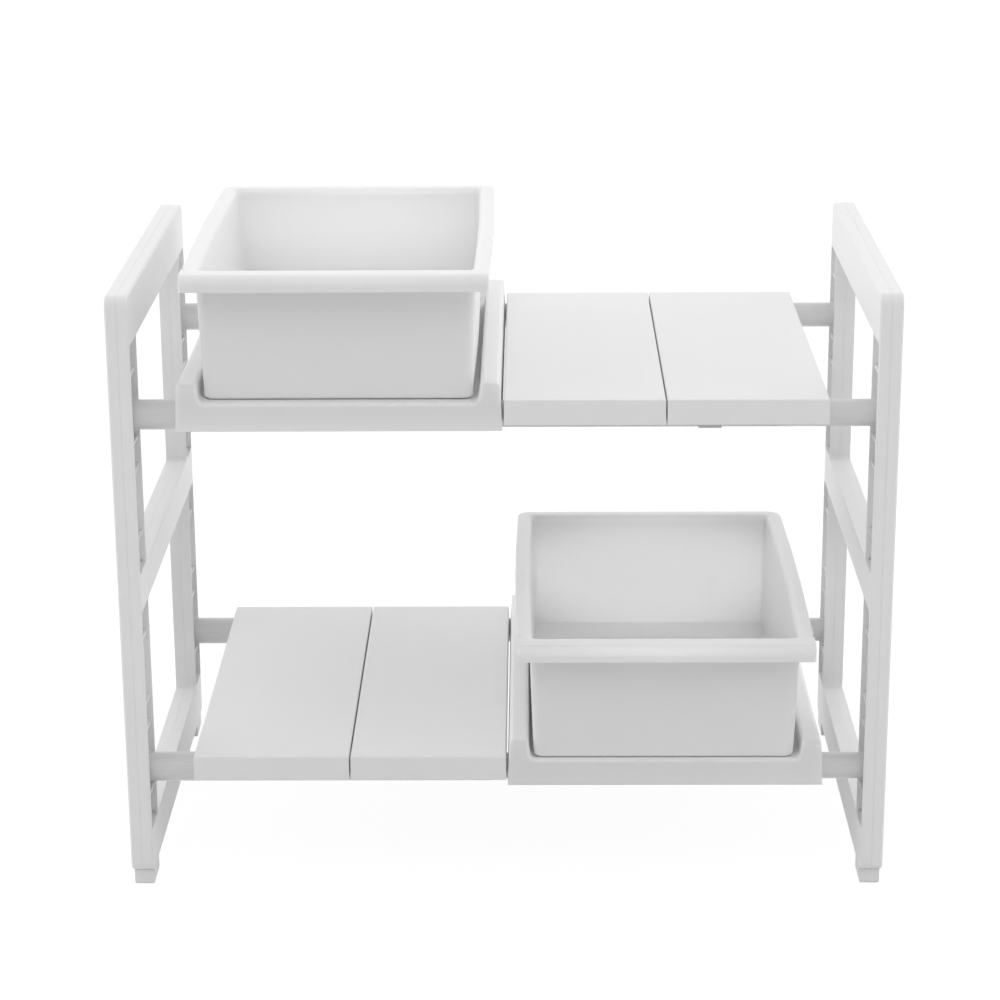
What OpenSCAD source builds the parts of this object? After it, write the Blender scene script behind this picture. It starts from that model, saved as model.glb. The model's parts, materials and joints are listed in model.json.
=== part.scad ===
// Two tier cabinet organizer: two end frames, four telescoping tubes, lift-off shelf panels,
// and a pull-out drawer on a tray at each tier.
// Millimetres. +X runs along the tubes, -Y is the front, +Z is up, and z = 0 is the floor.

/* [Set width and end frames] */
// Free length of tube between a shelf row and the nearer frame, as the tubes are set
row_side_gap = 25.4; // [8:0.2:60]
// Depth of an end frame, front to back
frame_d = 274; // [250:1:320]
// Height of the end frames above the floor
frame_h = 382; // [360:1:420]
// Thickness of an end frame, both half shells together
frame_t = 14; // [12:0.5:18]
// Room between a tube's socket and the post's walls
post_side_gap = 1.9; // [0.6:0.1:4]
// Height of the top rail
top_rail_h = 30.5; // [20:0.5:40]
// Height of the middle rail
mid_rail_h = 24.5; // [16:0.5:36]
// How far the middle rail sits above the height that would make both windows equal
mid_rail_lift = 0.2; // [-10:0.1:10]
// Height of the bottom rail
bottom_rail_h = 29; // [20:0.5:34]
// Radius of the frame's outer corners
frame_corner_r = 7; // [4:0.5:12]
// Radius of the window corners
window_r = 3; // [1:0.5:8]
// Wall of the moulded half shells
frame_wall = 2; // [1.5:0.1:2.5]
// Chamfer round the outer edge of each face
frame_chamfer = 1; // [0.5:0.1:1.5]
// Chamfer on each side of the parting line
seam_chamfer = 0.2; // [0.1:0.1:0.5]
// Thickness of the cross ribs inside the posts
post_rib_t = 1.6; // [1:0.1:2.4]
// How far those ribs stay below the posts' open side
post_rib_drop = 1.4; // [1:0.1:4]

/* [Feet] */
// Height that the feet lift the frames
foot_h = 10; // [6:0.5:16]
// Length of a foot, front to back
foot_l = 23; // [16:0.5:28]
// How far a foot stands in from the frame's outer side
foot_outer_gap = 1.2; // [0.2:0.1:2]
// How far a foot stands in from the frame's inner side
foot_inner_gap = 0.4; // [0.2:0.1:2]
// How far a foot sits in from the frame's front or rear face
foot_setback = 5; // [2:0.5:20]
// Radius of a foot's lower edges
foot_r = 1.8; // [1:0.1:3]
// Radius of the peg that plugs into the frame
foot_peg_r = 2.6; // [2:0.1:3.2]

/* [Tubes] */
// Outside diameter of the thin tubes
thin_tube_od = 16.5; // [14:0.1:18]
// Wall of every tube
tube_wall = 0.7; // [0.5:0.1:1]
// Radial play of a thin tube in a thick one
tube_play = 0.2; // [0.1:0.05:0.3]
// How far the thick tubes end before the upper tray's inner edge
mouth_setback = 7.7; // [2:0.1:20]
// Length of thin tube inside the thick one, as set here
tube_overlap = 181.6; // [150:0.2:190]
// How far the upper tubes' centres sit below the frame's top
upper_tube_drop = 76; // [62:0.5:110]
// Height of the lower tubes' centres
lower_tube_z = 76.5; // [64:0.5:120]
// Wall of the sockets that hold the tube ends
socket_wall = 2; // [1.5:0.1:2.2]
// How far the sockets stay below the posts' open side
socket_setback = 3; // [2:0.1:4]

/* [Shelf panels] */
// Width of a panel
panel_w = 96.7; // [80:0.1:98]
// How far panels and trays stand proud of the frames, front and rear
shelf_proud = 0.2; // [-2:0.1:2]
// Web of a panel over the tubes it rests on
panel_web = 2.95; // [2.2:0.05:5]
// Depth of a panel's apron below the tube centres
panel_drop = 3.1; // [1:0.1:8]
// Thickness of a panel's top
panel_top_t = 2; // [1.2:0.1:2.4]
// Wall of the aprons round panels and trays
apron_t = 2; // [1.5:0.1:3]
// Thickness of the ribs below panels and trays
rib_t = 1.6; // [1:0.1:2.4]
// Chamfer round the top of a panel
panel_chamfer = 0.7; // [0.3:0.1:1.2]
// Gap between neighbours in a row
row_gap = 0.9; // [0.6:0.1:2]
// How far each row sits off centre, towards its tray's end
row_shift = 1.2; // [0:0.1:3]

/* [Trays] */
// Width of a tray
tray_w = 195.6; // [190:0.2:198]
// Thickness of a tray's floor over the tubes
tray_floor_t = 1.23; // [1:0.01:3]
// Depth of a tray's apron below the tube centres
tray_drop = 6.6; // [3:0.1:10]
// Height of the tray's side walls above the tube centres
ear_rise = 22.5; // [18:0.5:34]
// Width of a side wall at its top, with its outer side drawn upright
ear_top_w = 13.2; // [10:0.2:14]
// Degrees that the side walls' inner sides lean outward
ear_lean = 8; // [1:0.5:12]
// Degrees that the side walls' outer sides lean inward
ear_draft = 2.6; // [0:0.1:4]
// Radius of the side walls' front and rear corners
ear_end_r = 5; // [2:0.5:8]
// Radius of the side walls' long outer edge
ear_edge_r = 2.5; // [1:0.5:4]
// Radius of the fillet between a side wall and the floor
ear_fillet_r = 4; // [2:0.5:6]
// Radius of the rolled lip at the tray's front
lip_r = 2.5; // [1:0.1:2.8]
// Height of the stop at the tray's rear, above the floor
rear_stop_h = 6; // [3:0.5:10]
// How far that stop stands in from the tray's rear edge
stop_setback = 7.4; // [0:0.2:10]

/* [Drawers] */
// Height of a drawer, from its underside to its rim
drawer_h = 80; // [60:1:100]
// Gap between a drawer's underside and the tray's side walls, on average
drawer_gap = 3.1; // [2:0.05:6]
// How far each side draws in from the rim to the underside
body_draft = 2.6; // [1:0.1:4]
// Wall of a drawer
drawer_wall = 2; // [1.5:0.1:2.6]
// Floor of a drawer
drawer_floor_t = 2.2; // [1.5:0.1:3]
// Radius of a drawer's upright corners
body_corner_r = 5; // [4:0.5:12]
// Radius of the edge round a drawer's underside
body_edge_r = 2.2; // [1:0.1:4]
// How far the rim reaches out over the body, at the corners
rim_over = 7.7; // [6:0.1:9]
// Radius of the opening's upper edge
mouth_r = 4; // [2:0.1:5]
// Chamfer round the rim's outer edge
rim_chamfer = 0.6; // [0.2:0.1:1]
// How far the long sides of the rim and the body bow outward
side_bow = 1.3; // [0:0.1:2]
// Thickness of the rim
rim_t = 2; // [1.5:0.1:3]
// Height of the rim's turned-down edge
rim_skirt_h = 5; // [3:0.5:8]
// Radius of the rim's corners
rim_corner_r = 9; // [6:0.5:14]
// How far the front grip reaches beyond the body
grip_reach = 16.5; // [12:0.5:20]
// Height of the front grip
grip_h = 9.8; // [8:0.1:16]
// Radius of the rolled front edge of the grip
grip_r = 6.5; // [4:0.1:7.5]
// Radius of the grip's front corners, seen from above
grip_end_r = 1.5; // [1:0.1:5]
// How far the front of a drawer stands behind its tray's when it is pushed in
drawer_in = 23.7; // [20:0.1:40]
// How far the upper drawer's front stands behind its tray's, as set here
upper_drawer_set = 5.7; // [-10:0.1:18]
// How far the lower drawer's front stands behind its tray's, as set here
lower_drawer_set = -0.3; // [-10:0.1:18]
// How far the upper drawer stands off its tray's middle, towards the middle of the set
upper_drawer_aside = -0.5; // [-1.5:0.1:1.5]
// How far the lower drawer stands off its tray's middle, towards the middle of the set
lower_drawer_aside = 0.9; // [-1.5:0.1:1.5]

/* [Hidden] */

// Gap that parts resting on each other are drawn with
seat_gap = 0.3;
// Overrun of every cut
over = 1;
// Overlap of cuts that meet end to end
lap = 0.02;
// Thickness of the slices that a lofted body is hulled from
slice_t = 0.05;

// Tubes
thin_r = thin_tube_od / 2;
thick_r = thin_r + tube_play + tube_wall;
upper_tube_z = frame_h - upper_tube_drop;

// Frame
half_t = frame_t / 2;
frame_body_h = frame_h - foot_h;
post_d = 2 * (thick_r + tube_play + socket_wall + post_side_gap + frame_wall);
mid_rail_z = (foot_h + bottom_rail_h + frame_h - top_rail_h - mid_rail_h) / 2 + mid_rail_lift;
window_w = frame_d - 2 * post_d;
post_y = (frame_d - post_d) / 2;
bays = [[foot_h + bottom_rail_h, mid_rail_z], [mid_rail_z + mid_rail_h, frame_h - top_rail_h]];
rails = [[foot_h, bottom_rail_h], [mid_rail_z, mid_rail_h], [frame_h - top_rail_h, top_rail_h]];
channel_w = post_d - 2 * frame_wall;
channel_r = window_r - frame_wall / 2;
channel_rib_shares = [0.14, 0.44, 0.56, 0.86];
socket_l = frame_t - socket_setback;
pin_r = 1.5;
pin_play = 0.15;
pin_end_gap = 1;
pin_reach = half_t - frame_wall - pin_end_gap;
boss_wall = 1.7;
pin_y_share = 0.24;
pin_ys = [-pin_y_share * frame_d, 0, pin_y_share * frame_d];

// Feet
foot_y = frame_d / 2 - foot_setback - foot_l / 2;
foot_x = foot_outer_gap;
foot_w = frame_t - foot_outer_gap - foot_inner_gap;
peg_play = 0.25;
peg_head = 0.8;
peg_head_h = 3;

// Levelling clips
clip_w = 14;
clip_play = 0.15;
clip_open = 100;
clip_chamfer = 0.45;

// Shelf rows
shelf_d = frame_d + 2 * shelf_proud;
panel_rise = thick_r + seat_gap + panel_web;
row_w = tray_w + 2 * panel_w + 2 * row_gap;
set_w = row_w + 2 * (row_shift + row_side_gap + frame_t);
upper_row_x = -row_w / 2 - row_shift;
lower_row_x = -row_w / 2 + row_shift;
panel_h = panel_rise + panel_drop;
clip_at = 26.2;
clip_rib = clip_w / 2 + seat_gap + rib_t / 2;
panel_ribs = [clip_at - clip_rib, clip_at + clip_rib,
    panel_w - clip_at - clip_rib, panel_w - clip_at + clip_rib];
cross_rib_shares = [-0.3, -0.15, 0, 0.15, 0.3];
rib_lift = 1.2;
upper_panel_inner_x = upper_row_x + tray_w + row_gap;
upper_panel_outer_x = upper_panel_inner_x + panel_w + row_gap;
lower_panel_outer_x = lower_row_x;
lower_panel_inner_x = lower_row_x + panel_w + row_gap;
lower_tray_x = lower_panel_inner_x + panel_w + row_gap;
clip_x = upper_panel_outer_x + clip_at;

// Ends of the tubes
tube_y = post_y;
tube_end_x = set_w / 2 - frame_wall - seat_gap;
mouth_x = upper_row_x + tray_w - mouth_setback;
thick_tube_l = tube_end_x + mouth_x;
thin_tube_l = tube_end_x - mouth_x + tube_overlap;

// Trays
tray_rise = thick_r + seat_gap + lap + tray_floor_t;
tray_clip_at = clip_x - lower_tray_x;
tray_rib_shares = [0.115, 0.225, 0.5, 0.775, 0.885];
tray_ribs = concat([for (s = tray_rib_shares) s * tray_w],
    [tray_clip_at - clip_rib, tray_clip_at + clip_rib,
     tray_w - tray_clip_at - clip_rib, tray_w - tray_clip_at + clip_rib]);
ear_wall_l = (ear_rise - ear_edge_r - tray_rise - ear_fillet_r
    + (ear_edge_r + ear_fillet_r) * sin(ear_lean)) / cos(ear_lean);
ear_base_w = ear_top_w - (ear_edge_r + ear_fillet_r) * (1 - cos(ear_lean)) + ear_wall_l * sin(ear_lean);
stop_t = 2.4;
lip_ease = 3 * lap;
lip_run = 0.4;
// How far the straight sides run past the corner arcs' ends, so that they cross and don't just touch
corner_run = 0.3;

// Drawers
drawer_lift = tray_rise + seat_gap;
body_w = tray_w - 2 * (ear_base_w + drawer_gap - body_draft);
body_d = shelf_d - drawer_in - stop_setback - stop_t - seat_gap + body_inset(rear_stop_h - seat_gap);
rim_w = body_w + 2 * rim_over;
rim_d = body_d + rim_over;
upper_drawer_x = upper_row_x + tray_w / 2 + upper_drawer_aside;
lower_drawer_x = lower_tray_x + tray_w / 2 - lower_drawer_aside;
mouth_steps = 4;
grip_steps = 8;
bow_steps = 10;
corner_steps = 7;

// Whole set: the origin is midway between the grips' front and the shelves' rear
grip_front_y = -shelf_d / 2 + min(upper_drawer_set, lower_drawer_set) - grip_reach;
y_middle = (grip_front_y + shelf_d / 2) / 2;

shell_white = [0.93, 0.93, 0.93];
rail_white = [0.9, 0.9, 0.9];
drawer_white = [0.95, 0.95, 0.95];
tube_grey = [0.78, 0.78, 0.78];
clip_grey = [0.72, 0.72, 0.72];

// Puts the whole set on its origin
module set_down() {
    translate([0, -y_middle, 0]) children();
}

// Rounded rectangle with one corner at the origin, made of true arcs
module round_rect(w, h, r) {
    translate([r, 0]) square([w - 2 * r, h]);
    translate([0, r]) square([w, h - 2 * r]);
    for (x = [r, w - r], y = [r, h - r]) translate([x, y]) circle(r = r, $fn = 48);
}

// Extrudes an outline drawn in the YZ plane from x0 to x1
module slab(x0, x1) {
    translate([x0, 0, 0]) rotate([90, 0, 90]) linear_extrude(height = x1 - x0) children();
}

// Extrudes an outline drawn in the XZ plane from y0 to y1
module sheet(y0, y1) {
    translate([0, y1, 0]) rotate([90, 0, 0]) linear_extrude(height = y1 - y0) children();
}

// Outer outline of an end frame, moved in by inset
module frame_outline(inset) {
    translate([-frame_d / 2 + inset, foot_h + inset])
        round_rect(frame_d - 2 * inset, frame_body_h - 2 * inset, frame_corner_r - inset);
}

// The two window openings of an end frame, grown by grow
module frame_windows(grow) {
    for (bay = bays)
        translate([-window_w / 2 - grow, bay[0] - grow])
            round_rect(window_w + 2 * grow, bay[1] - bay[0] + 2 * grow, window_r + grow);
}

// Face of an end frame: posts and rails, drawn in from every edge by inset
module frame_face(inset) {
    difference() {
        frame_outline(inset);
        frame_windows(inset);
    }
}

// Open channels on the inside of the posts, between the rails
module post_channels() {
    for (bay = bays, s = [-1, 1])
        translate([s * post_y - channel_w / 2, bay[0]])
            round_rect(channel_w, bay[1] - bay[0], channel_r);
}

// Hollow of a half shell, with walls that close the posts' channels off from the rails
module frame_hollow() {
    difference() {
        frame_face(frame_wall);
        for (bay = bays, s = [-1, 1], z = [bay[0] - frame_wall, bay[1]])
            translate([s * post_y - post_d / 2, z]) square([post_d, frame_wall]);
    }
}

// Cross ribs in the posts' channels: in the outer half from wall to wall, above it with a gap
module post_ribs() {
    for (bay = bays, s = [-1, 1], share = channel_rib_shares)
        translate([0, s * post_y, bay[0] + share * (bay[1] - bay[0]) - post_rib_t / 2]) {
            translate([frame_wall / 2, -channel_w / 2 - frame_wall / 2, 0])
                cube([half_t - frame_wall / 2, channel_w + frame_wall, post_rib_t]);
            translate([frame_wall / 2, -channel_w / 2 + seat_gap, 0])
                cube([frame_t - post_rib_drop - frame_wall / 2, channel_w - 2 * seat_gap, post_rib_t]);
        }
}

// Section of the cut that chamfers an edge: the edge is at the origin, material is at -x and +y
module chamfer_section(c) {
    polygon([[-c - over, -over], [over, c + over], [over, -over]]);
}

// Cut that chamfers the frame's outer perimeter, on the face at x = 0, material towards +x
module perimeter_chamfer(c) {
    straight_y = frame_d - 2 * frame_corner_r;
    straight_z = frame_body_h - 2 * frame_corner_r;
    mid_z = foot_h + frame_body_h / 2;
    for (s = [-1, 1]) {
        translate([0, s * frame_d / 2, mid_z - straight_z / 2 - lap])
            mirror([0, s < 0 ? 1 : 0, 0]) rotate([0, 0, 90]) mirror([0, 1, 0])
                linear_extrude(height = straight_z + 2 * lap) chamfer_section(c);
        translate([0, -straight_y / 2 - lap, mid_z + s * frame_body_h / 2])
            mirror([0, 0, s < 0 ? 1 : 0]) rotate([-90, -90, 0]) mirror([0, 1, 0])
                mirror([0, 1, 0]) linear_extrude(height = straight_y + 2 * lap) chamfer_section(c);
        for (t = [-1, 1])
            translate([0, s * straight_y / 2, mid_z + t * straight_z / 2])
                mirror([0, s < 0 ? 1 : 0, 0]) mirror([0, 0, t < 0 ? 1 : 0])
                    rotate([90, 0, 90]) rotate_extrude(angle = 90, $fn = 48)
                        translate([frame_corner_r, 0]) chamfer_section(c);
    }
}

// Hole for a foot's peg, shared by both half shells
module peg_holes() {
    for (s = [-1, 1])
        translate([half_t, s * foot_y, foot_h - over])
            cylinder(r = foot_peg_r + peg_play, h = frame_wall + 2 * over, $fn = 48);
}

// Outer half shell of an end frame: skin, walls, tube sockets and bosses for the pins
module frame_outer_half(tube_r) {
    bore_r = tube_r + tube_play;
    color(shell_white) difference() {
        union() {
            difference() {
                slab(0, half_t) frame_face(0);
                slab(frame_wall, half_t + over) frame_hollow();
            }
            post_ribs();
            for (s = [-1, 1], z = [lower_tube_z, upper_tube_z])
                translate([frame_wall / 2, s * tube_y, z]) rotate([0, 90, 0])
                    cylinder(r = bore_r + socket_wall, h = socket_l - frame_wall / 2, $fn = 64);
            for (rail = rails, y = pin_ys)
                translate([frame_wall / 2, y, rail[0] + rail[1] / 2]) rotate([0, 90, 0])
                    cylinder(r = pin_r + pin_play + boss_wall, h = half_t - frame_wall / 2, $fn = 32);
        }
        for (s = [-1, 1], z = [lower_tube_z, upper_tube_z])
            translate([frame_wall, s * tube_y, z]) rotate([0, 90, 0])
                cylinder(r = bore_r, h = socket_l, $fn = 64);
        for (rail = rails, y = pin_ys)
            translate([half_t - pin_reach - seat_gap, y, rail[0] + rail[1] / 2]) rotate([0, 90, 0])
                cylinder(r = pin_r + pin_play, h = half_t, $fn = 32);
        perimeter_chamfer(frame_chamfer);
        translate([half_t, 0, 0]) mirror([1, 0, 0]) perimeter_chamfer(seam_chamfer);
        peg_holes();
    }
}

// Inner half shell: closed over the rails, open along the posts, with the pins
module frame_inner_half() {
    color(rail_white) difference() {
        union() {
            difference() {
                slab(half_t, frame_t) frame_face(0);
                slab(half_t - over, frame_t - frame_wall) frame_hollow();
                slab(half_t - over, frame_t + over) post_channels();
            }
            for (rail = rails, y = pin_ys)
                translate([half_t - pin_reach, y, rail[0] + rail[1] / 2]) rotate([0, 90, 0])
                    cylinder(r = pin_r, h = half_t + pin_reach - frame_wall / 2, $fn = 32);
        }
        translate([half_t, 0, 0]) perimeter_chamfer(seam_chamfer);
        translate([frame_t, 0, 0]) mirror([1, 0, 0]) perimeter_chamfer(frame_chamfer);
        peg_holes();
    }
}

// Foot with rounded lower edges and a snap peg that plugs into the bottom rail
module foot(s) {
    color(rail_white) translate([0, s * foot_y, 0]) {
        intersection() {
            slab(foot_x, foot_x + foot_w) translate([-foot_l / 2, 0])
                round_rect(foot_l, foot_h + 2 * foot_r, foot_r);
            sheet(-foot_l / 2, foot_l / 2) translate([foot_x, 0])
                round_rect(foot_w, foot_h + 2 * foot_r, foot_r);
            translate([0, -foot_l / 2, 0]) cube([frame_t, foot_l, foot_h]);
        }
        translate([half_t, 0, foot_h - frame_wall])
            cylinder(r = foot_peg_r, h = 2 * frame_wall + seat_gap, $fn = 48);
        translate([half_t, 0, foot_h + frame_wall + seat_gap])
            cylinder(r1 = foot_peg_r + peg_head, r2 = foot_peg_r - peg_head, h = peg_head_h, $fn = 48);
    }
}

// Steel tube of outside radius r from x0 to x0 + l
module tube(r, l, x0, s, z) {
    color(tube_grey) translate([x0, s * tube_y, z]) rotate([0, 90, 0]) difference() {
        cylinder(r = r, h = l, $fn = 64);
        translate([0, 0, -over]) cylinder(r = r - tube_wall, h = l + 2 * over, $fn = 64);
    }
}

// Thick tube, fixed in the left frame
module thick_tube(s, z) {
    tube(thick_r, thick_tube_l, -tube_end_x, s, z);
}

// Thin tube, fixed in the right frame and sliding in the thick one
module thin_tube(s, z) {
    tube(thin_r, thin_tube_l, tube_end_x - thin_tube_l, s, z);
}

// Levelling clip: an open ring that brings the thin tube up to the thick tube's size
module level_clip(s, z) {
    bore_r = thin_r + clip_play;
    c = clip_chamfer;
    color(clip_grey) translate([clip_x - clip_w / 2, s * tube_y, z]) rotate([0, 90, 0])
        rotate([0, 0, 180 + clip_open / 2]) rotate_extrude(angle = 360 - clip_open, $fn = 64)
            polygon([[bore_r, 0], [thick_r - c, 0], [thick_r, c], [thick_r, clip_w - c],
                [thick_r - c, clip_w], [bore_r, clip_w]]);
}

// Slots that let a panel or tray drop onto both tubes
module saddle_cut(tube_r, w, drop) {
    saddle_slot(tube_r, -over, w + over, drop);
}
module saddle_slot(tube_r, x0, x1, drop) {
    r = tube_r + seat_gap;
    for (s = [-1, 1]) translate([x0, s * tube_y, 0]) {
        rotate([0, 90, 0]) cylinder(r = r, h = x1 - x0, $fn = 64);
        translate([0, -r, -drop - over]) cube([x1 - x0, 2 * r, drop + over]);
    }
}

// Room for the levelling clips at the given places
module clip_pockets(places, drop) {
    for (x = places) saddle_slot(thick_r, x - clip_w / 2 - seat_gap, x + clip_w / 2 + seat_gap, drop);
}

// Ribs below a shelf: along Y at the given places, and across at shares of the depth
module shelf_ribs(w, places, drop, rise) {
    low = -drop + rib_lift;
    for (x = places) translate([x - rib_t / 2, -shelf_d / 2 + apron_t / 2, low])
        cube([rib_t, shelf_d - apron_t, rise - low]);
    for (share = cross_rib_shares) translate([apron_t / 2, share * shelf_d - rib_t / 2, low])
        cube([w - apron_t, rib_t, rise - low]);
}

// Shelf panel, open below, drawn from its left edge with the tube centres at z = 0
module shelf_panel(tube_r, clip_places) {
    color(shell_white) difference() {
        union() {
            difference() {
                translate([0, -shelf_d / 2, -panel_drop]) cube([panel_w, shelf_d, panel_h]);
                translate([apron_t, -shelf_d / 2 + apron_t, -panel_drop - over])
                    cube([panel_w - 2 * apron_t, shelf_d - 2 * apron_t, panel_h - panel_top_t + over]);
            }
            shelf_ribs(panel_w, panel_ribs, panel_drop, panel_rise - panel_top_t / 2);
        }
        saddle_cut(tube_r, panel_w, panel_drop);
        clip_pockets(clip_places, panel_drop);
        for (x = [0, panel_w]) translate([x, shelf_d / 2 + over, panel_rise])
            mirror([x > 0 ? 0 : 1, 0, 0]) rotate([90, 0, 0]) mirror([0, 1, 0])
                linear_extrude(height = shelf_d + 2 * over) chamfer_section(panel_chamfer);
        for (s = [-1, 1]) translate([-over, s * shelf_d / 2, panel_rise])
            mirror([0, s < 0 ? 1 : 0, 0]) rotate([90, 0, 90]) mirror([0, 1, 0])
                linear_extrude(height = panel_w + 2 * over) chamfer_section(panel_chamfer);
    }
}

// Points of an arc about c
function arc_points(c, r, a0, a1, n) =
    [for (i = [0:n]) let (a = a0 + (a1 - a0) * i / n) c + r * [cos(a), sin(a)]];

// Front view of a tray: a floor between two hollow side walls, with true arcs at its corners.
// t moves it in by a wall, and floor_t lowers its floor.
module tray_section(t, floor_t) {
    low = -tray_drop - (t > 0 ? over : 0);
    edge = max(ear_edge_r - t, lap);
    run = min(corner_run, edge / 2);
    edge_z = ear_rise - ear_edge_r;
    outer_x = (ear_edge_r + (edge_z + tray_drop) * sin(ear_draft)) / cos(ear_draft);
    inner_x = ear_top_w - ear_edge_r;
    foot_in = t / cos(ear_draft) + (low + tray_drop) * tan(ear_draft);
    fillet = ear_fillet_r + t;
    turn = [ear_base_w + ear_fillet_r, tray_rise - floor_t + fillet];
    up = [sin(ear_draft), cos(ear_draft)];
    down = [sin(ear_lean), -cos(ear_lean)];
    left = [[foot_in, low],
        [outer_x, edge_z] + edge * [-up[1], up[0]] - run * up,
        [outer_x + run, edge_z + edge],
        [inner_x - run, edge_z + edge],
        [inner_x, edge_z] + edge * [-down[1], down[0]] + run * down,
        turn + fillet * [down[1], -down[0]] + corner_run * down,
        turn - [corner_run, fillet]];
    difference() {
        union() {
            polygon(concat(left, [for (i = [len(left) - 1:-1:0]) [tray_w - left[i][0], left[i][1]]]));
            for (x = [outer_x, inner_x, tray_w - inner_x, tray_w - outer_x])
                translate([x, edge_z]) circle(r = edge, $fn = 48);
        }
        for (x = [turn[0] + lap, tray_w - turn[0] - lap])
            translate([x, turn[1] + lap]) circle(r = fillet, $fn = 64);
    }
}

// Section of a cut that rounds an edge: the edge is at the origin, material at +x and -y
module round_section(r) {
    difference() {
        translate([-over, -r]) square([r + over, r + over]);
        translate([r, -r]) circle(r = r, $fn = 48);
    }
}

// Cut that rounds an upper edge running along X: the edge is at the origin, material at +y and -z
module edge_round(r, l) {
    translate([-over, 0, 0]) rotate([90, 0, 90]) linear_extrude(height = l + 2 * over) round_section(r);
}

// Cut that rolls the tray's front lip: along the floor, round the fillet and up the side wall.
// Its straight lengths stand a hair shallower than the turned one and run a little way into it.
module lip_cut() {
    turn_x = ear_base_w + ear_fillet_r;
    turn_z = tray_rise + ear_fillet_r;
    for (side = [0, 1]) translate([side * tray_w, -shelf_d / 2, 0]) mirror([side, 0, 0]) {
        translate([turn_x + over - lip_run, -lip_ease, tray_rise + lip_ease])
            edge_round(lip_r, tray_w / 2 - turn_x - over + lip_run);
        translate([turn_x, -lap, turn_z]) rotate([-90, 0, 0])
            rotate([0, 0, 90]) rotate_extrude(angle = 90 - ear_lean, $fn = 64)
                translate([ear_fillet_r - lap, 0]) mirror([0, 1]) round_section(lip_r);
        translate([turn_x, -lip_ease, turn_z]) rotate([0, -ear_lean, 0])
            translate([lip_ease - ear_fillet_r, 0, -lip_run])
                linear_extrude(height = ear_wall_l + ear_edge_r + over + lip_run)
                    rotate([0, 0, 180]) round_section(lip_r);
    }
}

// Tray that a drawer slides on, with the tube centres at z = 0
module tray(tube_r, clip_places) {
    between = tray_w - 2 * ear_base_w;
    stop_y = shelf_d / 2 - stop_setback - stop_t;
    color(shell_white) difference() {
        union() {
            difference() {
                sheet(-shelf_d / 2, shelf_d / 2) tray_section(0, 0);
                sheet(-shelf_d / 2 + apron_t, shelf_d / 2 - apron_t) tray_section(apron_t, tray_floor_t);
            }
            shelf_ribs(tray_w, tray_ribs, tray_drop, tray_rise - tray_floor_t / 2);
            translate([ear_base_w - apron_t, stop_y, tray_rise - tray_floor_t / 2])
                cube([between + 2 * apron_t, stop_t, rear_stop_h + tray_floor_t / 2]);
        }
        saddle_cut(tube_r, tray_w, tray_drop);
        clip_pockets(clip_places, tray_drop);
        for (x = [-over, tray_w - ear_base_w]) translate([x, -shelf_d / 2, ear_rise])
            edge_round(ear_end_r, ear_base_w);
        for (x = [-over, tray_w - ear_base_w]) translate([x, shelf_d / 2, ear_rise])
            mirror([0, 1, 0]) edge_round(ear_end_r, ear_base_w);
        lip_cut();
    }
}

// Points of a long side that bows outward, from the front corner to the rear one
function bowed_side(w, d, r, bow) =
    [for (i = [1:bow_steps - 1]) let (t = i / bow_steps) [w / 2 + bow * sin(180 * t), r + t * (d - 2 * r)]];

// Outline of a drawer in plan: front edge on y = 0, rounded corners, long sides bowed outward
function drawer_outline(w, d, r, bow) = let (x = w / 2 - r, side = bowed_side(w, d, r, bow)) concat(
    arc_points([-x, r], r, 180, 270, corner_steps),
    arc_points([x, r], r, -90, 0, corner_steps),
    side,
    arc_points([x, d - r], r, 0, 90, corner_steps),
    arc_points([-x, d - r], r, 90, 180, corner_steps),
    [for (i = [len(side) - 1:-1:0]) [-side[i][0], side[i][1]]]);

// One level of a drawer's body, drawn in from the rim's opening by inset
module body_level(z, inset, r) {
    translate([0, inset, z]) linear_extrude(height = slice_t)
        polygon(drawer_outline(body_w - 2 * inset, body_d - 2 * inset, r, side_bow));
}

// Drawn-in distance of the body's side at a height
function body_inset(z) = body_draft * (1 - z / drawer_h);

// Tapered tub, lofted through its levels; wall moves it in and floor_z raises it
module tub(wall, floor_z, top_z) {
    r = body_corner_r - wall;
    e = max(body_edge_r - wall / 2, lap);
    hull() {
        for (a = [0, 30, 60, 90])
            body_level(floor_z + e * (1 - cos(a)), body_inset(floor_z) + wall + e * (1 - sin(a)), r);
        body_level(top_z - slice_t, body_inset(top_z) + wall, r);
    }
}

// Rounded upper edge of the tub's opening, stepped through levels
module tub_mouth() {
    base = drawer_h - mouth_r;
    for (i = [0:mouth_steps - 1]) hull()
        for (a = [90 * i / mouth_steps, 90 * (i + 1) / mouth_steps]) {
            z = base + mouth_r * sin(a);
            out = mouth_r * (1 - cos(a));
            body_level(z, body_inset(z) + drawer_wall - out, body_corner_r - drawer_wall + out);
        }
}

// Side view of the front grip, body front at y = 0: flat top, rolled edge, turned-down lip
module grip_section(t) {
    y = -grip_reach + t;
    r = grip_r - t;
    top = drawer_h - t;
    low = drawer_h - grip_h - (t > 0 ? over : 0);
    polygon(concat([[drawer_wall, top]],
        arc_points([y + r, top - r], r, 90, 180, grip_steps),
        [[y, low], [drawer_wall, low]]));
}

// Front grip: a rolled lip across the whole front, open below, closed at its ends
module grip() {
    intersection() {
        difference() {
            slab(-rim_w / 2, rim_w / 2) grip_section(0);
            slab(-rim_w / 2 + drawer_wall, rim_w / 2 - drawer_wall) grip_section(drawer_wall);
        }
        translate([-rim_w / 2, -grip_reach, drawer_h - grip_h - over])
            linear_extrude(height = grip_h + 2 * over)
                round_rect(rim_w, grip_reach + 3 * grip_end_r, grip_end_r);
    }
}

// Plan of the rim, drawn in by inset
module rim_outline(inset) {
    translate([0, inset])
        polygon(drawer_outline(rim_w - 2 * inset, rim_d - 2 * inset, rim_corner_r - inset, side_bow));
}

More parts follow.
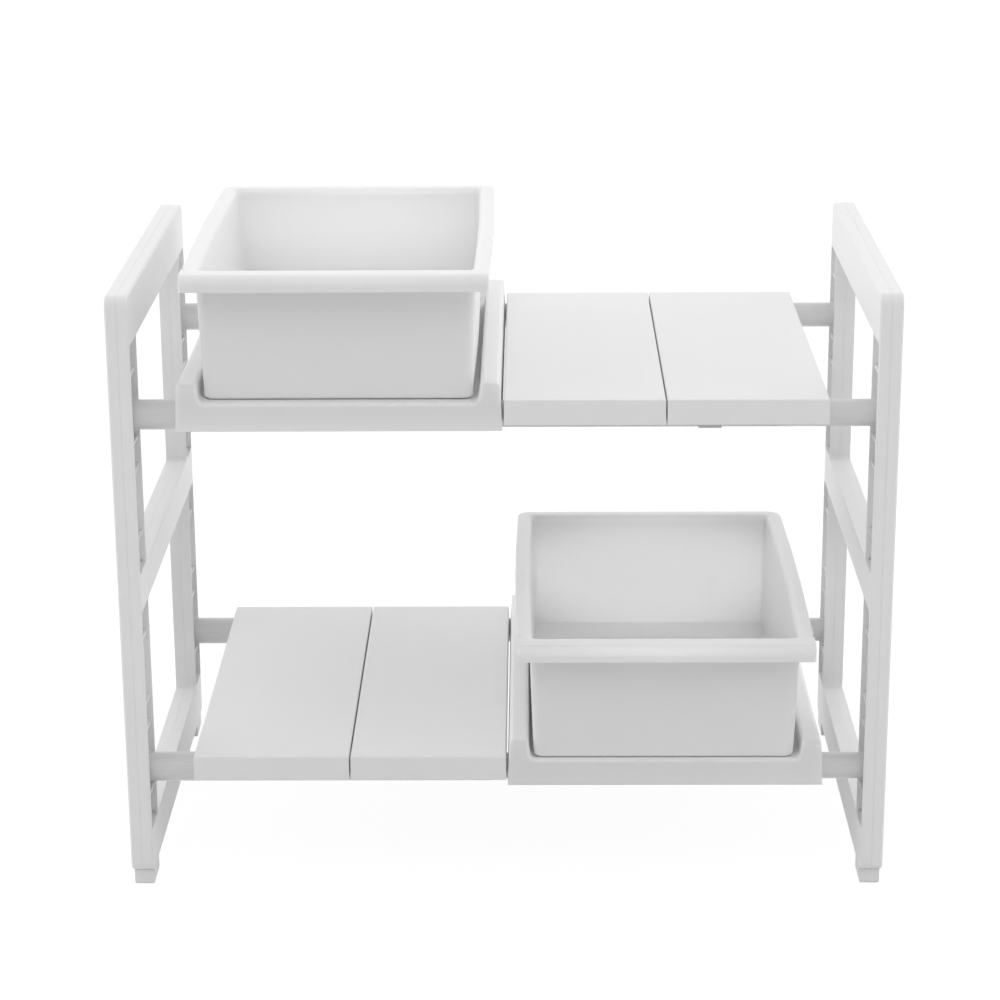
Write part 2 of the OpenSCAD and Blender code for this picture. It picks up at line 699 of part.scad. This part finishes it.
// Bowed rim round the tub, with a turned-down edge
module rim() {
    hull() {
        translate([0, 0, drawer_h - rim_t]) linear_extrude(height = rim_t - rim_chamfer) rim_outline(0);
        translate([0, 0, drawer_h - slice_t]) linear_extrude(height = slice_t) rim_outline(rim_chamfer);
    }
    translate([0, 0, drawer_h - rim_skirt_h]) linear_extrude(height = rim_skirt_h - rim_t / 2) difference() {
        rim_outline(0);
        rim_outline(rim_t);
    }
}

// Drawer: tapered tub, bowed rim with a turned-down edge, and the front grip
module drawer() {
    color(drawer_white) difference() {
        union() {
            tub(0, 0, drawer_h);
            rim();
            grip();
        }
        tub(drawer_wall, drawer_floor_t, drawer_h + over);
        tub_mouth();
    }
}

// Places of the moving and repeated pieces
module at_left() {
    set_down() translate([-set_w / 2, 0, 0]) children();
}
module at_right() {
    set_down() translate([set_w / 2, 0, 0]) mirror([1, 0, 0]) children();
}
module at_shelf(x, z) {
    set_down() translate([x, 0, z]) children();
}

module left_frame_outer() {
    at_left() frame_outer_half(thick_r);
}
module left_frame_inner() {
    at_left() frame_inner_half();
}
module right_frame_outer() {
    at_right() frame_outer_half(thin_r);
}
module right_frame_inner() {
    at_right() frame_inner_half();
}
module left_front_foot() {
    at_left() foot(-1);
}
module left_rear_foot() {
    at_left() foot(1);
}
module right_front_foot() {
    at_right() foot(-1);
}
module right_rear_foot() {
    at_right() foot(1);
}
module thick_tube_upper_front() {
    set_down() thick_tube(-1, upper_tube_z);
}
module thick_tube_upper_rear() {
    set_down() thick_tube(1, upper_tube_z);
}
module thick_tube_lower_front() {
    set_down() thick_tube(-1, lower_tube_z);
}
module thick_tube_lower_rear() {
    set_down() thick_tube(1, lower_tube_z);
}
module thin_tube_upper_front() {
    set_down() thin_tube(-1, upper_tube_z);
}
module thin_tube_upper_rear() {
    set_down() thin_tube(1, upper_tube_z);
}
module thin_tube_lower_front() {
    set_down() thin_tube(-1, lower_tube_z);
}
module thin_tube_lower_rear() {
    set_down() thin_tube(1, lower_tube_z);
}
module level_clip_upper_front() {
    set_down() level_clip(-1, upper_tube_z);
}
module level_clip_upper_rear() {
    set_down() level_clip(1, upper_tube_z);
}
module level_clip_lower_front() {
    set_down() level_clip(-1, lower_tube_z);
}
module level_clip_lower_rear() {
    set_down() level_clip(1, lower_tube_z);
}
module upper_panel_inner() {
    at_shelf(upper_panel_inner_x, upper_tube_z) shelf_panel(thin_r, []);
}
module upper_panel_outer() {
    at_shelf(upper_panel_outer_x, upper_tube_z) shelf_panel(thin_r, [clip_at]);
}
module lower_panel_inner() {
    at_shelf(lower_panel_inner_x, lower_tube_z) shelf_panel(thick_r, []);
}
module lower_panel_outer() {
    at_shelf(lower_panel_outer_x, lower_tube_z) shelf_panel(thick_r, []);
}
module upper_tray() {
    at_shelf(upper_row_x, upper_tube_z) tray(thick_r, []);
}
module lower_tray() {
    at_shelf(lower_tray_x, lower_tube_z) tray(thin_r, [tray_clip_at]);
}
module upper_drawer() {
    at_shelf(upper_drawer_x, upper_tube_z + drawer_lift)
        translate([0, upper_drawer_set - shelf_d / 2, 0]) drawer();
}
module lower_drawer() {
    at_shelf(lower_drawer_x, lower_tube_z + drawer_lift)
        translate([0, lower_drawer_set - shelf_d / 2, 0]) drawer();
}

left_frame_outer();
left_frame_inner();
right_frame_outer();
right_frame_inner();
left_front_foot();
left_rear_foot();
right_front_foot();
right_rear_foot();
thick_tube_upper_front();
thick_tube_upper_rear();
thick_tube_lower_front();
thick_tube_lower_rear();
thin_tube_upper_front();
thin_tube_upper_rear();
thin_tube_lower_front();
thin_tube_lower_rear();
level_clip_upper_front();
level_clip_upper_rear();
level_clip_lower_front();
level_clip_lower_rear();
upper_panel_inner();
upper_panel_outer();
lower_panel_inner();
lower_panel_outer();
upper_tray();
lower_tray();
upper_drawer();
lower_drawer();
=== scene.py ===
import json
import math

import bpy
from mathutils import Matrix, Vector

# ---- Camera: long lens, slightly above the upper tier, straight in front. Radians and metres. ----
CAMERA_PITCH = 0.309719
CAMERA_YAW = -0.011458
CAMERA_ROLL = -0.005975
CAMERA_PLACE = (0.015668, -1.730757, 0.768887)
CAMERA_CLIP = (0.05, 50.0)
SENSOR_WIDTH = 36.0
FOCAL_PIXELS = 2794.07
PICTURE_PIXELS = 1000.0

# ---- Light ----
# Soft light from one side each: (direction, spread, strength).
WORLD_LOBES = [
    ((0.0, 1.0, 0.0), 1.0, 0.98),
    ((0.0, 1.0, 0.3), 4.0, 0.66),
    ((-1.0, 0.0, 0.3), 4.0, 1.62),
    ((1.0, 0.0, 0.3), 4.0, 1.54),
    ((0.0, -1.0, 1.2), 8.0, 1.18),
    ((0.0, -1.0, 3.0), 10.0, 0.70),
]
WHITE = (1.0, 1.0, 1.0, 1.0)
BACKDROP_LEVEL = 1.0

# Narrow beams into the drawers: (name, target, angle in degrees, height share, blend, power in watts).
BEAM_PLACE = (0.0157, -1.7308, 0.7689)
BEAM_SOURCE_RADIUS = 0.02
BEAMS = [
    ("lamp_low", (0.100, 0.105, 0.127), 7.6, 0.42, 0.75, 50.0),
    ("lamp_high", (-0.100, 0.105, 0.380), 6.8, 0.36, 1.0, 26.0),
]

# ---- Floor ----
FLOOR_SIZE = 24.0
FLOOR_TONE = 0.82
FLOOR_ROUGHNESS = 0.9
FLOOR_SPECULAR = 0.1
FLOOR_SHADOW_KEPT = 0.15
FLOOR_GLOW = 1.1

# ---- Finishes ----
# The noise stays mostly between these values, so a colour or roughness runs over this span.
NOISE_LOW, NOISE_HIGH = 0.3, 0.7
PLASTIC_IOR = 1.49
PLASTIC_SPECULAR = 0.42
PLASTIC_LIGHTER, PLASTIC_DARKER = 1.008, 0.986
PLASTIC_ROUGHNESS_SWING = 0.05
EDGE_RADIUS = 0.0005
EDGE_SAMPLES = 6
FLOW_BUMP, FLOW_DEPTH = 0.10, 0.0006
GRAIN_DEPTH = 0.00003
WAVE_SCALE, WAVE_DISTORTION = 7.6, 1.2
WAVE_DETAIL, WAVE_DETAIL_SCALE = 1.0, 0.6
WAVE_DEPTH = 0.0004

# Moulded plastics by material slot. glow is how deep light spreads below the surface, in metres.
PLASTICS = {
    "frame_plastic": {"tone": 0.90, "rough": 0.42, "grain": 0.12},
    "foot_plastic": {"tone": 0.88, "rough": 0.5, "grain": 0.16},
    "clip_plastic": {"tone": 0.55, "rough": 0.45, "grain": 0.12},
    "panel_plastic": {"tone": 0.885, "rough": 0.40, "grain": 0.10, "waves": 0.12},
    "tray_plastic": {"tone": 0.91, "rough": 0.40, "grain": 0.10, "glow": 0.003},
    "drawer_plastic": {"tone": 0.91, "rough": 0.36, "grain": 0.08, "glow": 0.0008},
}

TUBE_DARK = (0.70, 0.70, 0.705)
TUBE_LIGHT = (0.75, 0.75, 0.755)
TUBE_ROUGHNESS = (0.26, 0.34)
TUBE_IOR = 1.5
TUBE_SPECULAR = 0.6
TUBE_COAT, TUBE_COAT_ROUGHNESS = 0.25, 0.12
TUBE_LINE_BUMP, TUBE_LINE_DEPTH = 0.08, 0.00004
TUBE_FINE_BUMP, TUBE_FINE_DEPTH = 0.05, 0.00002

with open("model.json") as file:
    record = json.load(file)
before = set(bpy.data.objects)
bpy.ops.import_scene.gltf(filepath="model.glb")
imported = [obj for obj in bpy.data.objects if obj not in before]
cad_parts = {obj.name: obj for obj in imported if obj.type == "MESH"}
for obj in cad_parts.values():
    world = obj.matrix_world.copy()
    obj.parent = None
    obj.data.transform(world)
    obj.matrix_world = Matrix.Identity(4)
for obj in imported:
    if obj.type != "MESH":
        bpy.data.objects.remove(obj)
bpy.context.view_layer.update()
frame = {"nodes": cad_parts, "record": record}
nodes = frame["nodes"]
slot_of = {s["node"]: s["material_slot"] for s in frame["record"]["subparts"]}
scene = bpy.context.scene


def add_camera():
    forward = Vector((
        math.sin(CAMERA_YAW) * math.cos(CAMERA_PITCH),
        math.cos(CAMERA_YAW) * math.cos(CAMERA_PITCH),
        -math.sin(CAMERA_PITCH),
    ))
    side = Vector((math.cos(CAMERA_YAW), -math.sin(CAMERA_YAW), 0.0))
    above = side.cross(forward)
    right = math.cos(CAMERA_ROLL) * side + math.sin(CAMERA_ROLL) * above
    up = -math.sin(CAMERA_ROLL) * side + math.cos(CAMERA_ROLL) * above
    turn = Matrix((right, up, -forward)).transposed().to_4x4()
    data = bpy.data.cameras.new("camera")
    data.sensor_width = SENSOR_WIDTH
    data.lens = FOCAL_PIXELS * SENSOR_WIDTH / PICTURE_PIXELS
    data.clip_start, data.clip_end = CAMERA_CLIP
    camera = bpy.data.objects.new("camera", data)
    camera.matrix_world = Matrix.Translation(CAMERA_PLACE) @ turn
    scene.collection.objects.link(camera)
    scene.camera = camera


# ---- Node helpers ----
def put(tree, socket, value):
    """Link a socket to the input, or set it as the input's constant."""
    if isinstance(value, bpy.types.NodeSocket):
        tree.links.new(value, socket)
    else:
        socket.default_value = value


def math_node(tree, operation, first, second):
    node = tree.nodes.new("ShaderNodeMath")
    node.operation = operation
    put(tree, node.inputs[0], first)
    put(tree, node.inputs[1], second)
    return node.outputs[0]


def mix_shaders(tree, share, first, second):
    mix = tree.nodes.new("ShaderNodeMixShader")
    for socket, value in zip(mix.inputs, (share, first, second)):
        tree.links.new(value, socket)
    return mix.outputs[0]


class Tree:
    """A new material with its node tree, and short ways to add the nodes that the finishes share."""

    def __init__(self, name):
        self.mat = bpy.data.materials.new(name)
        self.mat.use_nodes = True
        self.tree = self.mat.node_tree
        self.bsdf = self.tree.nodes["Principled BSDF"]
        self.place = self.tree.nodes.new("ShaderNodeTexCoord").outputs["Object"]

    def add(self, kind, inputs):
        node = self.tree.nodes.new(kind)
        for key, value in inputs.items():
            put(self.tree, node.inputs[key], value)
        return node

    def surface(self, inputs):
        for key, value in inputs.items():
            put(self.tree, self.bsdf.inputs[key], value)

    def math(self, operation, first, second):
        return math_node(self.tree, operation, first, second)

    def blend(self, first, first_share, second, second_share):
        """The weighted sum of two values."""
        return self.math("ADD", self.math("MULTIPLY", first, first_share),
                         self.math("MULTIPLY", second, second_share))

    def scaled(self, x, y, z):
        node = self.add("ShaderNodeMapping", {"Vector": self.place, "Scale": (x, y, z)})
        return node.outputs["Vector"]

    def noise(self, vector, scale, detail, rough, warp=0.0):
        node = self.add("ShaderNodeTexNoise", {
            "Vector": vector, "Scale": scale, "Detail": detail, "Roughness": rough, "Distortion": warp})
        return node.outputs["Fac"]

    def span(self, value, low, high):
        """The noise value stretched to run from low to high."""
        node = self.add("ShaderNodeMapRange", {
            "Value": value, "From Min": NOISE_LOW, "From Max": NOISE_HIGH, "To Min": low, "To Max": high})
        return node.outputs["Result"]

    def tint(self, value, dark, light):
        node = self.add("ShaderNodeValToRGB", {"Fac": value})
        low, high = node.color_ramp.elements
        low.position, high.position = NOISE_LOW, NOISE_HIGH
        low.color, high.color = (*dark, 1.0), (*light, 1.0)
        return node.outputs["Color"]

    def bump(self, height, strength, distance, normal=None):
        node = self.add("ShaderNodeBump", {"Height": height, "Strength": strength, "Distance": distance})
        if normal is not None:
            self.tree.links.new(normal, node.inputs["Normal"])
        return node.outputs["Normal"]

    def soft_edges(self, radius):
        node = self.add("ShaderNodeBevel", {"Radius": radius})
        node.samples = EDGE_SAMPLES
        return node.outputs["Normal"]

    def bands(self):
        """Wide, slightly uneven bands across the depth."""
        node = self.add("ShaderNodeTexWave", {
            "Vector": self.place, "Scale": WAVE_SCALE, "Distortion": WAVE_DISTORTION,
            "Detail": WAVE_DETAIL, "Detail Scale": WAVE_DETAIL_SCALE})
        node.wave_type = "BANDS"
        node.bands_direction = "Y"
        return node.outputs["Fac"]


def moulded_white(name, tone, rough, grain, waves=0.0, glow=0.0):
    """Moulded plastic: faint flow marks, fine spark grain, and softly rounded edges."""
    t = Tree(name)
    flow = t.noise(t.scaled(1.0, 0.45, 1.0), scale=9.0, detail=3.0, rough=0.55, warp=0.6)
    cloud = t.noise(t.place, scale=55.0, detail=4.0, rough=0.6)
    spark = t.noise(t.place, scale=2600.0, detail=2.0, rough=0.6)
    spots = t.noise(t.place, scale=900.0, detail=1.0, rough=0.4)
    dark = (tone * PLASTIC_DARKER,) * 3
    light = (min(1.0, tone * PLASTIC_LIGHTER),) * 3
    t.surface({
        "Base Color": t.tint(t.blend(flow, 0.65, cloud, 0.35), dark, light),
        "Roughness": t.span(t.blend(flow, 0.7, spots, 0.3),
                            rough - PLASTIC_ROUGHNESS_SWING, rough + PLASTIC_ROUGHNESS_SWING),
        "IOR": PLASTIC_IOR,
        "Specular IOR Level": PLASTIC_SPECULAR,
    })
    if glow:
        t.surface({
            "Subsurface Weight": 1.0,
            "Subsurface Radius": (1.0, 1.0, 1.0),
            "Subsurface Scale": glow,
        })
    normal = t.soft_edges(EDGE_RADIUS)
    if waves:
        normal = t.bump(t.bands(), waves, WAVE_DEPTH, normal)
    normal = t.bump(flow, FLOW_BUMP, FLOW_DEPTH, normal)
    normal = t.bump(spark, grain, GRAIN_DEPTH, normal)
    t.surface({"Normal": normal})
    return t.mat


def coated_tube(name):
    """Drawn steel tube with a smooth light grey coat: faint lengthwise draw lines and a satin gloss."""
    t = Tree(name)
    lines = t.noise(t.scaled(0.6, 26.0, 26.0), scale=60.0, detail=3.0, rough=0.6)
    cloud = t.noise(t.place, scale=22.0, detail=2.0, rough=0.5)
    fine = t.noise(t.scaled(0.15, 1.0, 1.0), scale=1800.0, detail=2.0, rough=0.5)
    normal = t.bump(lines, TUBE_LINE_BUMP, TUBE_LINE_DEPTH)
    t.surface({
        "Base Color": t.tint(t.blend(lines, 0.5, cloud, 0.5), TUBE_DARK, TUBE_LIGHT),
        "Roughness": t.span(lines, *TUBE_ROUGHNESS),
        "IOR": TUBE_IOR,
        "Specular IOR Level": TUBE_SPECULAR,
        "Coat Weight": TUBE_COAT,
        "Coat Roughness": TUBE_COAT_ROUGHNESS,
        "Normal": t.bump(fine, TUBE_FINE_BUMP, TUBE_FINE_DEPTH, normal),
    })
    return t.mat


def set_material(node, mat):
    mesh = nodes[node].data
    mesh.materials.clear()
    mesh.materials.append(mat)


# ---- World, floor and lamps ----
def seen_white(tree):
    """1 for rays that the camera, gloss or clear material sends, 0 for rays that carry light."""
    path = tree.nodes.new("ShaderNodeLightPath")
    camera_or_gloss = math_node(tree, "MAXIMUM", path.outputs["Is Camera Ray"], path.outputs["Is Glossy Ray"])
    return math_node(tree, "MAXIMUM", camera_or_gloss, path.outputs["Is Transmission Ray"])


def add_world():
    """The lobes light the object. What is seen in their place is white."""
    world = bpy.data.worlds.new("studio")
    world.use_nodes = True
    scene.world = world
    tree = world.node_tree
    coord = tree.nodes.new("ShaderNodeTexCoord")
    level = None
    for direction, spread, strength in WORLD_LOBES:
        facing = tree.nodes.new("ShaderNodeVectorMath")
        facing.operation = "DOT_PRODUCT"
        tree.links.new(coord.outputs["Generated"], facing.inputs[0])
        facing.inputs[1].default_value = Vector(direction).normalized()
        front = math_node(tree, "MAXIMUM", facing.outputs["Value"], 0.0)
        lobe = math_node(tree, "POWER", front, spread)
        part = math_node(tree, "MULTIPLY", lobe, strength)
        level = part if level is None else math_node(tree, "ADD", level, part)
    lit = tree.nodes["Background"]
    lit.inputs["Color"].default_value = WHITE
    tree.links.new(level, lit.inputs["Strength"])
    white = tree.nodes.new("ShaderNodeBackground")
    white.inputs["Color"].default_value = WHITE
    white.inputs["Strength"].default_value = BACKDROP_LEVEL
    shown = mix_shaders(tree, seen_white(tree), lit.outputs[0], white.outputs[0])
    tree.links.new(shown, tree.nodes["World Output"].inputs["Surface"])


def add_floor():
    """A pale floor that the camera sees as white, apart from a share of the object's shadow."""
    bpy.ops.mesh.primitive_plane_add(size=FLOOR_SIZE, location=(0.0, 0.0, 0.0))
    floor = bpy.context.object
    floor.name = "floor"
    mat = bpy.data.materials.new("floor_white")
    mat.use_nodes = True
    tree = mat.node_tree
    bsdf = tree.nodes["Principled BSDF"]
    bsdf.inputs["Base Color"].default_value = (FLOOR_TONE, FLOOR_TONE, FLOOR_TONE, 1.0)
    bsdf.inputs["Roughness"].default_value = FLOOR_ROUGHNESS
    bsdf.inputs["Specular IOR Level"].default_value = FLOOR_SPECULAR
    glow = tree.nodes.new("ShaderNodeEmission")
    glow.inputs["Color"].default_value = WHITE
    glow.inputs["Strength"].default_value = FLOOR_GLOW
    share = math_node(tree, "MULTIPLY", seen_white(tree), 1.0 - FLOOR_SHADOW_KEPT)
    shown = mix_shaders(tree, share, bsdf.outputs[0], glow.outputs[0])
    tree.links.new(shown, tree.nodes["Material Output"].inputs["Surface"])
    floor.data.materials.append(mat)


def add_beam(name, target, angle, height_share, blend, power):
    """A narrow soft beam, lower than it is wide, for what the upper tier or a drawer's walls shade."""
    data = bpy.data.lights.new(name, "SPOT")
    data.energy = power
    data.spot_size = math.radians(angle)
    data.spot_blend = blend
    data.shadow_soft_size = BEAM_SOURCE_RADIUS
    lamp = bpy.data.objects.new(name, data)
    lamp.location = BEAM_PLACE
    lamp.rotation_euler = (Vector(target) - Vector(BEAM_PLACE)).to_track_quat("-Z", "Y").to_euler()
    lamp.scale = (1.0, height_share, 1.0)
    scene.collection.objects.link(lamp)


add_camera()
scene.view_settings.view_transform = "Standard"
add_world()
add_floor()
for beam in BEAMS:
    add_beam(*beam)

finishes = {slot: moulded_white(slot, **look) for slot, look in PLASTICS.items()}
finishes["tube_metal"] = coated_tube("tube_metal")
for name in nodes:
    set_material(name, finishes[slot_of[name]])
